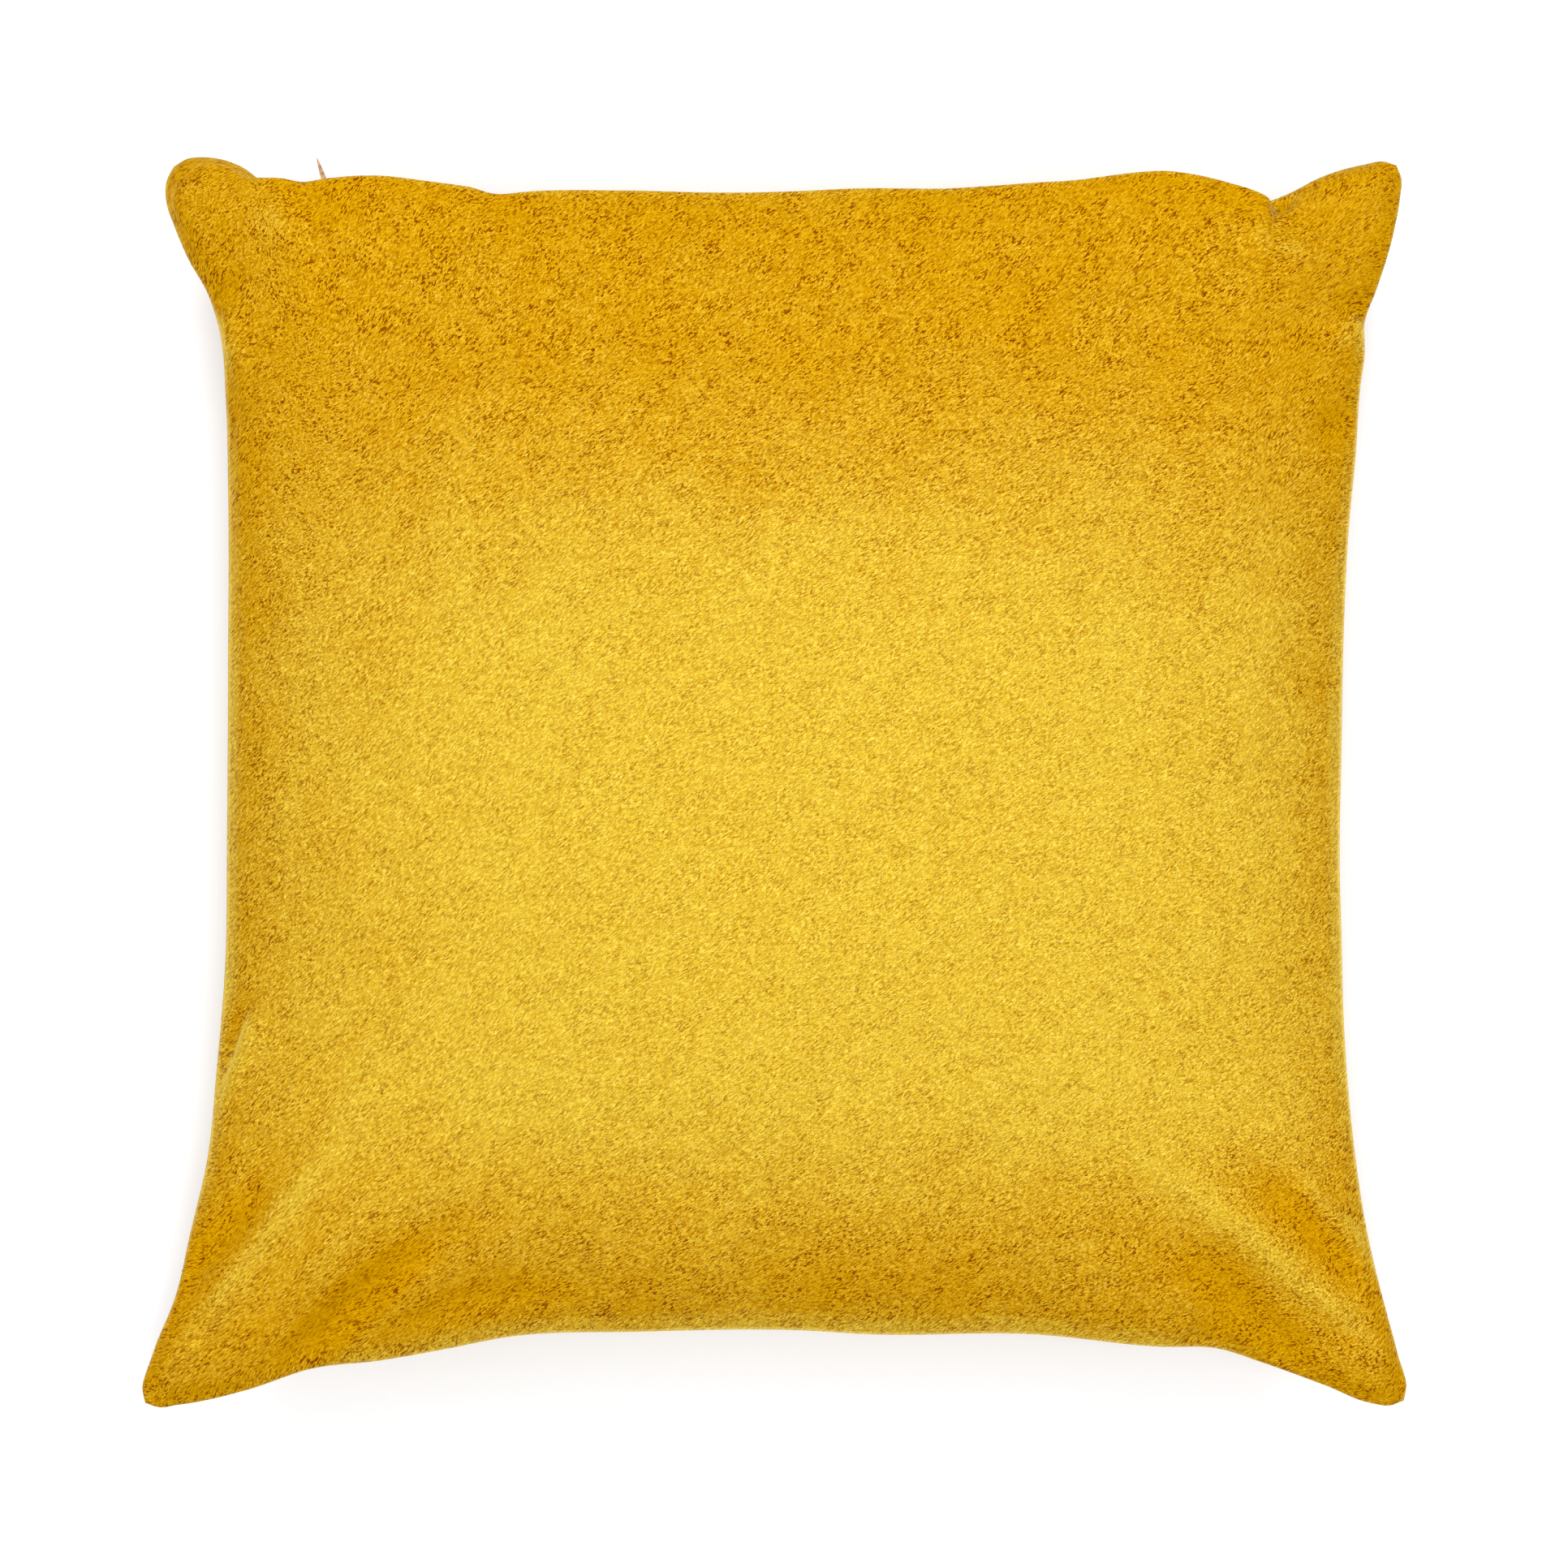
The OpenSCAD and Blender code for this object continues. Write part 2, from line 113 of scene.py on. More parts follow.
# How far the cloth stands out beyond the zip's folds, as (X, distance) in millimetres
FRONT_ROLL = [
    (-222, 0), (-212, 9), (-203, 19), (-192, 23), (-172, 23), (-152, 20.5), (-134, 17.5), (-118, 15),
    (-104, 13), (-92, 14), (-54, 13.5), (-15, 12.5), (12, 13.5), (38, 15), (66, 14.5), (92, 16.5),
    (120, 18.5), (140, 21.5),
    (156, 23), (170, 22.5), (184, 20), (192, 17.5), (198, 13), (203, 6.5), (207, 3), (215, 1),
]
BACK_ROLL = [
    (-215, 1), (-190, 12), (-165, 13), (-120, 8), (-40, 8), (30, 8), (90, 10), (130, 13), (160, 14),
    (184, 9), (202, 3), (215, 1),
]

# Folds of the front, as (points, half width, height) in millimetres. A height below 0 is a valley.
FRONT_FOLDS = [
    ([(206, 240), (202, 228), (198, 218)], 3.4, -6),
    ([(186, 217), (199, 211), (214, 206), (224, 196)], 7, 2),
    ([(176, 229), (190, 224), (197, 216)], 7, -1),
    ([(-194, 242), (-184, 228), (-160, 219)], 7, -2),
    ([(-206, 228), (-196, 217), (-180, 210)], 9, 1.6),
    ([(-116, 240), (-108, 228), (-96, 216)], 7, -1.6),
    ([(242, 186), (232, 189), (218, 192)], 4.5, -2.2),
    ([(240, 180), (229, 177), (216, 170)], 7, 3.2),
    ([(234, 144), (224, 140), (212, 128)], 6, -1.8),
    ([(-229, 192), (-219, 196), (-206, 203)], 5, -1.0),
    ([(-224, 186), (-217, 173), (-213, 158)], 6, 3.2),
    ([(-222, 160), (-217, 146), (-215, 130)], 5, -1.5),
    ([(-202, -92), (-212, -115), (-222, -142)], 4.5, 2.4),
    ([(-210, -90), (-219, -114), (-226, -136)], 4.5, -2.4),
    ([(-240, -206), (-228, -192), (-212, -174), (-194, -150)], 6, -3.4),
    ([(-232, -224), (-210, -197), (-188, -168), (-164, -136), (-148, -106)], 8, 3.4),
    ([(-196, -236), (-184, -226), (-162, -205), (-138, -185), (-112, -168)], 7, -4.5),
    ([(-186, -200), (-170, -180), (-150, -160)], 8, 1.6),
    ([(-150, -222), (-128, -210), (-96, -202), (-60, -200)], 7, -2),
    ([(21, -221), (20, -208), (30, -194)], 6, -0.7),
    ([(160, -228), (174, -220), (182, -206)], 6, -1.8),
    ([(238, -226), (212, -203), (178, -175), (142, -148), (114, -120)], 7, 3.4),
    ([(212, -238), (196, -222), (172, -198), (140, -180)], 9, -3.5),
    ([(240, -204), (214, -180), (188, -157), (172, -136)], 6, -2.6),
    ([(240, -203), (229, -187), (211, -164), (204, -148)], 4.5, 3.2),
    ([(60, -222), (70, -204), (90, -190)], 9, -0.6),
    ([(-60, -222), (-54, -206), (-40, -190)], 9, -0.6),
    ([(-223, 60), (-206, 62), (-184, 56)], 9, -0.9),
    ([(230, 40), (212, 38), (190, 46)], 9, -0.9),
]
# The stuffing fills the front's corners. These change the shape and add no painted light or shade to the colour.
FRONT_CORNERS = [
    ([(-240, 244), (-226, 230), (-204, 210)], 15, 5),
    ([(248, 247), (234, 234), (214, 216)], 13, 4),
    ([(-246, -244), (-234, -232), (-218, -216)], 11, 3),
    ([(246, -243), (234, -232), (218, -216)], 11, 3),
]
# Folds of the back beside the seam, where it shows past the front's edge
BACK_FOLDS = [
    ([(-224, 176), (-220, 154), (-219, 132)], 8, 5),
    ([(-226, -160), (-222, -132), (-219, -104)], 8, 5),
    ([(-140, -226), (-100, -219), (-60, -217), (-18, -217)], 8, 4),
    ([(-180, 225), (-172, 205), (-150, 190)], 7, -2.5),
    ([(184, -224), (170, -205), (150, -192)], 7, -2.5),
]
BACK_CORNERS = [
    ([(212, 232), (190, 206), (160, 188)], 10, 3),
    ([(-212, 232), (-190, 206), (-164, 190)], 10, 3),
    ([(-232, -232), (-200, -196), (-170, -170)], 10, 3),
    ([(230, -230), (200, -196), (170, -172)], 10, 3),
]


def smooth(t):
    t = np.clip(t, 0.0, 1.0)
    return t * t * (3 - 2 * t)


def ramp(value, start, span):
    """0 up to the start, rising smoothly to 1 after the span."""
    return smooth((value - start) / span)


def curve(points, count):
    """count + 1 points at equal steps along a smooth curve through the points, in metres."""
    p = np.array(points, float) * MM
    d = np.r_[0, np.cumsum(np.linalg.norm(np.diff(p, axis=0), axis=1))]
    m = np.gradient(p, d, axis=0)
    t = np.linspace(0, d[-1], 4000)
    k = np.clip(np.searchsorted(d, t, "right") - 1, 0, len(d) - 2)
    h = (d[k + 1] - d[k])[:, None]
    s = (t - d[k])[:, None] / h
    q = ((2 * s**3 - 3 * s**2 + 1) * p[k] + (s**3 - 2 * s**2 + s) * h * m[k]
         + (3 * s**2 - 2 * s**3) * p[k + 1] + (s**3 - s**2) * h * m[k + 1])
    length = np.r_[0, np.cumsum(np.linalg.norm(np.diff(q, axis=0), axis=1))]
    w = np.linspace(0, length[-1], count + 1)
    return np.stack([np.interp(w, length, q[:, c]) for c in range(p.shape[1])], axis=1)


def seam_height(x, y):
    near_x = smooth((np.abs(x) / TIP_X - TIP_START) / (1 - TIP_START))
    near_y = smooth((np.abs(y) / TIP_Y - TIP_START) / (1 - TIP_START))
    return SEAM_Z - TIP_DROP * near_x * near_y


def plan_grid(n):
    """The cover's plan as an (n + 1, n + 1, 2) grid, along X then Y."""
    bottom, top, left, right = (curve(e, n) for e in (SEAM_BOTTOM, SEAM_TOP, SEAM_LEFT, SEAM_RIGHT))
    u = np.linspace(0, 1, n + 1)[:, None, None]
    v = np.linspace(0, 1, n + 1)[None, :, None]
    p = (1 - v) * bottom[:, None] + v * top[:, None] + (1 - u) * left[None] + u * right[None]
    corners = (1 - u) * (1 - v) * bottom[0] + u * (1 - v) * bottom[-1] + (1 - u) * v * top[0] + u * v * top[-1]
    return p - corners


def square(n):
    """The cloth's own coordinates, from -1 to 1."""
    t = np.linspace(-1, 1, n + 1)
    return np.meshgrid(t, t, indexing="ij")


def zip_share(x, y):
    """1 on the seam beside the zip and 0 on the plain seam."""
    return smooth((ZIP_END + 0.006 - np.abs(x)) / 0.006) * (y > 0.2)


def start_shape(n, side, crown):
    plan = plan_grid(n)
    u, v = square(n)
    dome = (np.clip(1 - u**2, 0, 1) * np.clip(1 - v**2, 0, 1)) ** 0.55
    lip = LIP + ZIP_LIP * zip_share(plan[..., 0], plan[..., 1])
    z = seam_height(plan[..., 0], plan[..., 1]) + side * (lip + crown * dome)
    return np.concatenate([plan, z[..., None]], axis=2)


def grid_faces(n, m, start=0, flip=False):
    a = start + (np.arange(n)[:, None] * (m + 1) + np.arange(m)[None]).ravel()
    f = np.stack([a, a + m + 1, a + m + 2, a + 1], axis=1)
    return f[:, ::-1] if flip else f


def mesh_object(name, points, faces, smooth_faces=True):
    me = bpy.data.meshes.new(name)
    me.from_pydata(np.asarray(points, float).tolist(), [], [list(map(int, f)) for f in faces])
    me.update()
    if smooth_faces:
        me.shade_smooth()
    ob = bpy.data.objects.new(name, me)
    scene.collection.objects.link(ob)
    return ob


def simulate(shape, side, pressure, frames):
    """Lets the cloth find its folds, held at the seam and pushed out by the stuffing."""
    n = shape.shape[0] - 1
    u, v = square(n)
    flat = np.stack([u * FLAT / 2, v * FLAT / 2, np.full_like(u, SEAM_Z)], axis=2).reshape(-1, 3)
    ob = mesh_object("cloth_sim", shape.reshape(-1, 3), grid_faces(n, n, flip=side < 0))
    ob.shape_key_add(name="shape")
    rest = ob.shape_key_add(name="flat")
    rest.data.foreach_set("co", flat.ravel())
    held = ob.vertex_groups.new(name="seam")
    held.add([int(k) for k in border(n)], 1.0, "REPLACE")
    cloth = ob.modifiers.new("cloth", "CLOTH")
    s = cloth.settings
    s.quality = 6
    s.mass = 0.3
    s.air_damping = 2.0
    s.tension_stiffness = s.compression_stiffness = 80
    s.shear_stiffness = 20
    s.bending_stiffness = 5
    s.tension_damping = s.compression_damping = s.shear_damping = 10
    s.vertex_group_mass = "seam"
    s.rest_shape_key = rest
    s.use_pressure = True
    s.uniform_pressure_force = pressure
    s.effector_weights.gravity = 0
    cloth.collision_settings.use_collision = False
    cloth.collision_settings.use_self_collision = False
    cloth.point_cache.frame_start, cloth.point_cache.frame_end = 1, frames
    for f in range(1, frames + 1):
        scene.frame_set(f)
    got = np.empty((n + 1) ** 2 * 3)
    ob.evaluated_get(bpy.context.evaluated_depsgraph_get()).data.vertices.foreach_get("co", got)
    scene.frame_set(1)
    me = ob.data
    bpy.data.objects.remove(ob)
    bpy.data.meshes.remove(me)
    return got.reshape(n + 1, n + 1, 3)


def finer(grid, k):
    """The grid with k times as many cells each way, through the same points."""
    for axis in (0, 1):
        g = np.moveaxis(grid, axis, 0)
        g = np.concatenate([2 * g[:1] - g[1:2], g, 2 * g[-1:] - g[-2:-1]])
        n = len(g) - 3
        out = [g[1:n + 1]]
        for s in range(1, k):
            t = s / k
            w = (-0.5 * t + t**2 - 0.5 * t**3, 1 - 2.5 * t**2 + 1.5 * t**3,
                 0.5 * t + 2 * t**2 - 1.5 * t**3, -0.5 * t**2 + 0.5 * t**3)
            out.append(sum(c * g[q:q + n] for q, c in enumerate(w)))
        new = np.stack(out, axis=1).reshape(n * k, *g.shape[1:])
        grid = np.moveaxis(np.concatenate([new, g[-2:-1]]), 0, axis)
    return grid


def normals(grid, side):
    n = np.cross(np.gradient(grid, axis=0), np.gradient(grid, axis=1)) * side
    return n / np.maximum(np.linalg.norm(n, axis=2, keepdims=True), 1e-12)


def border(n):
    """Indices of a grid's border, anticlockwise from its corner at -X, -Y."""
    i = np.arange((n + 1) ** 2).reshape(n + 1, n + 1)
    return np.r_[i[:-1, 0], i[-1, :-1], i[:0:-1, -1], i[0, :0:-1]]


def walls(loop, size):
    """Faces between a border and the same border one layer further, size points on."""
    after = np.roll(loop, -1)
    return np.stack([after, loop, loop + size, after + size], axis=1)


def line_distance(x, y, points):
    """Distance from each place to a smooth line, and the share of the line that it is nearest to."""
    p = curve(points, 40)
    best = np.full(x.shape, 1e9)
    share = np.zeros(x.shape)
    for k, (a, b) in enumerate(zip(p[:-1], p[1:])):
        d = b - a
        t = np.clip(((x - a[0]) * d[0] + (y - a[1]) * d[1]) / (d @ d), 0, 1)
        r = np.hypot(x - a[0] - t * d[0], y - a[1] - t * d[1])
        near = r < best
        best[near] = r[near]
        share[near] = (k + t[near]) / (len(p) - 1)
    return best, share


def fold_field(grid, folds):
    """How far each point of the grid moves out along its normal for the folds."""
    x, y = grid[..., 0], grid[..., 1]
    out = np.zeros(x.shape)
    for points, width, height in folds:
        r, share = line_distance(x, y, points)
        fade = (0.3 + 0.7 * ramp(share, 0, 0.2)) * (1 - 0.9 * ramp(share, 0.4, 0.6))
        out += height * MM * np.exp(-(r / (width * MM)) ** 2) * fade
    return out


def shape_panel(grid, side, roll, folds, corners, seed):
    """Adds the roll beside the zip, the listed folds and a slight unevenness."""
    n = grid.shape[0] - 1
    step = FLAT / n
    from_zip = (n - np.arange(n + 1))[None, :] * step + np.zeros((n + 1, 1))
    steps_in = np.minimum(np.arange(n + 1), n - np.arange(n + 1))
    from_edge = np.minimum(steps_in[:, None], steps_in[None, :]) * step
    x, d = (np.array(v) * MM for v in zip(*roll))
    far = np.interp(grid[..., 0], x, d, left=0, right=0)
    for _ in range(8):
        far[1:-1] = (far[:-2] + far[1:-1] + far[2:]) / 3
    bulge = ramp(from_zip, 0, 0.016) * (1 - ramp(from_zip, 0.012, 0.070))
    grid = grid + (far * bulge)[..., None] * np.array([0, 1, 0.1 * side])
    folded = fold_field(grid, folds) * ramp(from_edge, 0, 0.007)
    filled = fold_field(grid, corners) * ramp(from_edge, 0, 0.007)
    rough = [noise.noise(Vector((x * 22, y * 22, seed))) + 0.4 * noise.noise(Vector((x * 70, y * 70, seed + 5)))
             for x, y in grid[..., :2].reshape(-1, 2)]
    rough = np.array(rough).reshape(n + 1, n + 1)
    out = folded + filled + 0.0009 * rough * ramp(from_edge, 0, 0.03)
    return grid + out[..., None] * normals(grid, side), folded


def rested(grid, level):
    """The back is flat where the pillow lies on it, and rounds into its sides."""
    h = grid[..., 2] - level
    r = 0.006
    flat = np.where(h <= -r, level, level + (h + r) ** 2 / (4 * r))
    out = grid.copy()
    out[..., 2] = np.where(h >= r, grid[..., 2], flat)
    return out


def ring(seam, depth, height, side):
    """A line inside the seam, at a depth in from it and a height from its middle."""
    p = seam[:, :2] * (1 - np.asarray(depth) / ZIP_Y)[..., None]
    return np.column_stack([p, seam_height(p[:, 0], p[:, 1]) + side * height])


def attach(ob, name, kind, values):
    a = ob.data.attributes.new(name, kind, "POINT")
    a.data.foreach_set("vector" if kind == "FLOAT_VECTOR" else "value", np.asarray(values, float).ravel())


def shell(name, outer, side, thickness, rings, root):
    """One cloth panel as a closed solid: its outer face, the fold and allowance, and its inner face."""
    n = outer.shape[0] - 1
    edge = border(n)
    seam = outer.reshape(-1, 3)[edge]
    inner = outer - normals(outer, side) * thickness
    inner = inner.reshape(-1, 3)
    inner[edge] = ring(seam, *root, side)
    lines = [ring(seam, d, h, side) for d, h in rings]
    points = np.concatenate([outer.reshape(-1, 3), *lines, inner])
    size, count = (n + 1) ** 2, len(edge)
    starts = [edge] + [size + k * count + np.arange(count) for k in range(len(lines))]
    starts.append(size + len(lines) * count + edge)
    faces = [grid_faces(n, n, flip=side < 0), grid_faces(n, n, size + len(lines) * count, flip=side > 0)]
    for a, b in zip(starts[:-1], starts[1:]):
        q = np.stack([np.roll(a, -1), a, b, np.roll(b, -1)], axis=1)
        faces.append(q if side > 0 else q[:, ::-1])
    ob = mesh_object(name, points, np.concatenate(faces))
    u, v = square(n)
    flat = np.stack([u * FLAT / 2, v * FLAT / 2, u * 0], axis=2).reshape(-1, 3)
    strip = [flat[edge] * (1 + d / (FLAT / 2)) for d in np.linspace(0.001, ALLOWANCE, len(lines))]
    attach(ob, "cloth", "FLOAT_VECTOR", np.concatenate([flat, *strip, flat]))
    return ob


# ---------------------------------------------------------------- the cover

front = finer(simulate(start_shape(CELLS, 1, FRONT_CROWN), 1, PRESSURE, FRAMES), FINER)
back = finer(simulate(start_shape(CELLS, -1, BACK_CROWN), -1, PRESSURE, FRAMES), FINER)
front, front_folded = shape_panel(front, 1, FRONT_ROLL, FRONT_FOLDS, FRONT_CORNERS, 3.0)
back, back_folded = shape_panel(back, -1, BACK_ROLL, BACK_FOLDS, BACK_CORNERS, 11.0)
back = rested(back, 0.0)

seam_line = front.reshape(-1, 3)[border(CELLS * FINER)]
share = zip_share(seam_line[:, 0], seam_line[:, 1])


def beside(plain, zipped):
    return plain * MM + (zipped - plain) * MM * share


COVER_RINGS = [
    (0.25 * MM, beside(0.65, 1.4)), (0.9 * MM, beside(0.12, 0.5)), (2.3 * MM, beside(0.12, 0.5)),
    (2.6 * MM, beside(0.12, 3.4)), (7.5 * MM, beside(0.12, 3.4)), (12 * MM, beside(0.12, 3.4)),
    (12 * MM, beside(1.32, 4.6)), (7.5 * MM, beside(1.32, 4.6)),
]
ROOT = (3.6 * MM, beside(1.32, 4.6))
cover_front = shell("cover_front", front, 1, VELVET_T, COVER_RINGS, ROOT)
cover_back = shell("cover_back", back, -1, VELVET_T, COVER_RINGS, ROOT)


def blurred(values, times):
    """The values averaged with their neighbours."""
    for _ in range(times):
        for axis in (0, 1):
            v = np.moveaxis(values, axis, 0)
            v = np.concatenate([v[:1], v, v[-1:]])
            values = np.moveaxis((v[:-2] + v[1:-1] + v[2:]) / 3, 0, axis)
    return values


def pile(ob, grid, side, folded):
    """Painted light and shade in the velvet's colour: pale round the middle, on crests and as a painted sheen along
    the rim, deeper as painted shade towards the top, bottom and sides, on slopes and in folds.
    """
    x, y = grid[..., 0], grid[..., 1]
    n = normals(grid, side)
    level = np.abs(n[..., 2])
    # Painted shade: the colour deepens towards the top and bottom edges and towards both sides.
    along_y = 1.1 * ramp(y, 0.025, 0.165) + 0.85 * ramp(-y, 0.115, 0.085)
    along_x = 0.58 * ramp(-x, 0.080, 0.150) + 0.50 * ramp(x, 0.120, 0.130)
    tilt = np.linalg.norm(n - blurred(n, 60), axis=2)
    corner = ramp(np.abs(x), 0.200, 0.025) * ramp(np.abs(y), 0.200, 0.025)
    # The rim gets a painted sheen highlight where the surface is steeper than this, which comes sooner beside the zip
    steep = 0.66 + 0.50 * np.clip(n[..., 1], 0, 1) + 0.20 * np.clip(-n[..., 1], 0, 1)
    painted_rim_sheen = ramp(steep, level, 0.50) * (1 - corner)
    # Painted shade on slopes, less the painted sheen highlight on the rim.
    deep = 1 - (1 - along_y) * (1 - along_x) + 0.22 * ramp(0.92, level, 0.30) - 0.6 * painted_rim_sheen
    # Painted shade where the cloth tilts in folds and in valleys, painted light on the ridges.
    deep += 0.7 * np.clip(tilt - 0.05, 0, 0.4) * (1 - painted_rim_sheen) - 0.19 * np.clip(folded / MM, -3.2, 3.2)
    values = np.ones(len(ob.data.vertices))
    values[:deep.size] = np.clip(deep, -0.2, 1.4).ravel()
    attach(ob, "pile", "FLOAT", values)


pile(cover_front, front, 1, front_folded)
pile(cover_back, back, -1, back_folded)

# ---------------------------------------------------------------- the insert

inside = {}
for side, grid in ((1, front), (-1, back)):
    n = CELLS * FINER
    inner = grid - normals(grid, side) * VELVET_T
    inside[side] = BVHTree.FromPolygons(inner.reshape(-1, 3).tolist(), grid_faces(n, n).tolist())


def reach(x, y, side, tree, margin):
    """Height from the seam's level to a surface above or below it, less a margin square to it."""
    hit, normal, _, far = tree.ray_cast(Vector((x, y, SEAM_Z)), Vector((0, 0, side)))
    if hit is None:
        return 0.0
    return far - margin / max(abs(normal.z), 0.35)


def nested(grid, side, tree, share, height, margin):
    """The same shape, smaller, and kept inside another surface."""
    out = grid.copy()
    out[..., :2] *= share
    mid = seam_height(out[..., 0], out[..., 1])
    rise = (grid[..., 2] - seam_height(grid[..., 0], grid[..., 1])) * side * height
    most = [reach(x, y, side, tree, margin) for x, y in out[..., :2].reshape(-1, 2)]
    most = np.array(most).reshape(rise.shape)
    rise[1:-1, 1:-1] = np.minimum(rise, most)[1:-1, 1:-1]
    rise = np.maximum(rise, 0.0006)
    out[..., 2] = mid + side * rise
    return out


CASING_RINGS = [(0.3 * MM, 0.3 * MM), (0.9 * MM, 0.1 * MM), (5 * MM, 0.1 * MM), (9 * MM, 0.1 * MM),
                (9 * MM, 0.7 * MM), (5 * MM, 0.7 * MM)]
casing_grid, casing, fill_grid = {}, {}, {}
for side, grid in ((1, front), (-1, back)):
    small = grid[::FINER, ::FINER]
    g = nested(small, side, inside[side], INSERT_SHARE, 0.965, SLACK)
    casing_grid[side] = g
    name = "casing_front" if side > 0 else "casing_back"
    casing[side] = shell(name, g, side, CASING_T, CASING_RINGS, (3.0 * MM, 0.7 * MM))
    inner = g - normals(g, side) * CASING_T
    tree = BVHTree.FromPolygons(inner.reshape(-1, 3).tolist(), grid_faces(CELLS, CELLS).tolist())
    f = nested(g, side, tree, 0.945, 0.97, SLACK)
    lumps = [0.5 + noise.fractal(Vector((x * 90, y * 90, z * 90)), 1.0, 2.0, 3) for x, y, z in f.reshape(-1, 3)]
    lumps = np.clip(lumps, 0, 1).reshape(f.shape[:2])
    f[..., 2] -= side * 0.0022 * lumps * ramp(np.abs(f[..., 2] - SEAM_Z), 0.004, 0.01)
    fill_grid[side] = f

n = CELLS
edge = border(n)
top, low = fill_grid[1].reshape(-1, 3), fill_grid[-1].reshape(-1, 3)
for side, g in ((1, top), (-1, low)):
    g[edge, 2] = seam_height(g[edge, 0], g[edge, 1]) + side * 0.0015
size = (n + 1) ** 2
fill = mesh_object("fill", np.concatenate([top, low]), np.concatenate([
    grid_faces(n, n), grid_faces(n, n, size, flip=True), walls(edge, size)]))

# ---------------------------------------------------------------- thread, zip and label


def ring_faces(n, sides, closed=False):
    """Faces of n rings of points, each joined to the next, with flat ends unless it is closed."""
    k = np.arange(n if closed else n - 1)[:, None]
    s = np.arange(sides)[None]
    k2, s2 = (k + 1) % n, (s + 1) % sides
    faces = np.stack([k * sides + s, k * sides + s2, k2 * sides + s2, k2 * sides + s], axis=2)
    faces = faces.reshape(-1, 4).tolist()
    if not closed:
        faces += [list(range(sides))[::-1], [(n - 1) * sides + q for q in range(sides)]]
    return faces


def tube(points, radius, sides, closed=False):
    """Points and faces of a round thread that follows a line."""
    p = np.asarray(points, float)
    n = len(p)
    t = np.roll(p, -1, axis=0) - np.roll(p, 1, axis=0)
    if not closed:
        t[0], t[-1] = p[1] - p[0], p[-1] - p[-2]
    t /= np.linalg.norm(t, axis=1, keepdims=True)
    u = np.empty_like(p)
    u[0] = np.cross(t[0], (0.0, 0.0, 1.0) if abs(t[0, 2]) < 0.9 else (0.0, 1.0, 0.0))
    for k in range(1, n):
        u[k] = u[k - 1] - t[k] * (u[k - 1] @ t[k])
        u[k] /= max(math.sqrt(u[k] @ u[k]), 1e-12)
    u[0] /= np.linalg.norm(u[0])
    v = np.cross(t, u)
    a = np.arange(sides) * 2 * math.pi / sides
    out = u[:, None] * np.cos(a)[None, :, None] + v[:, None] * np.sin(a)[None, :, None]
    ringed = p[:, None] + radius * out
    return ringed.reshape(-1, 3), ring_faces(n, sides, closed)


def threads(name, runs, radius, sides=6, closed=False):
    points, faces, start = [], [], 0
    for run in runs:
        p, f = tube(run, radius, sides, closed)
        points.append(p)
        faces += [[i + start for i in q] for q in f]
        start += len(p)
    return mesh_object(name, np.concatenate(points), faces)


def even(path, step, closed=False):
    """Points at equal steps along a line."""
    p = np.concatenate([path, path[:1]]) if closed else path
    d = np.r_[0, np.cumsum(np.linalg.norm(np.diff(p, axis=0), axis=1))]
    count = max(2, int(round(d[-1] / step)))
    w = np.linspace(0, d[-1], count + 1)[:-1] if closed else np.linspace(0, d[-1], count + 1)
    return np.stack([np.interp(w, d, p[:, c]) for c in range(3)], axis=1)


def stitched(path, side, length, rise):
    """A line of thread that rises over each stitch."""
    p = even(path, length / 4)
    p[:, 2] += side * rise * (0.5 - 0.5 * np.cos(np.arange(len(p)) * math.pi / 2))
    return p


def wound(path, radius, turns_per_point):
    """A line that winds round another."""
    p = np.asarray(path)
    t = np.gradient(p, axis=0)
    t /= np.linalg.norm(t, axis=1, keepdims=True)
    u = np.cross(t, (0.0, 0.0, 1.0))
    u /= np.linalg.norm(u, axis=1, keepdims=True)
    v = np.cross(t, u)
    a = np.arange(len(p)) * 2 * math.pi * turns_per_point
    return p + radius * (u * np.cos(a)[:, None] + v * np.sin(a)[:, None])


SEAM_IN, OVERLOCK_IN = 9.2 * MM, 12.65 * MM   # the threads' places, in from the seam's outline
first = int(np.argmax((share[:-1] > 0.5) & (share[1:] <= 0.5)))
plain = np.roll(seam_line, -first - 1, axis=0)
plain = plain[zip_share(plain[:, 0], plain[:, 1]) <= 0.01]
seam_runs = [stitched(ring(plain, SEAM_IN, 1.62 * MM, s), s, 0.003, 0.00012) for s in (1, -1)]
seam_thread = threads("seam_stitches", seam_runs, 0.0002)
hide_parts("seam_thread")

overlock = {}
for side, word in ((1, "front"), (-1, "back")):
    cut = even(ring(seam_line, OVERLOCK_IN, beside(0.72, 4.0), side), 0.0005, closed=True)
    turns = round(len(cut) / 6) / len(cut)
    overlock[side] = threads("overlock_" + word, [wound(cut, 0.00026, turns)], 0.00014, 5, closed=True)
    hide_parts("overlock_thread_" + word)


def straight(x0, x1, depth, height, step):
    """A line along X, at a depth in from the zip's folds and a height from the seam."""
    x = np.linspace(x0, x1, max(2, int(round((x1 - x0) / step)) + 1))
    return np.column_stack([x, np.full_like(x, ZIP_Y - depth), np.full_like(x, SEAM_Z + height)])


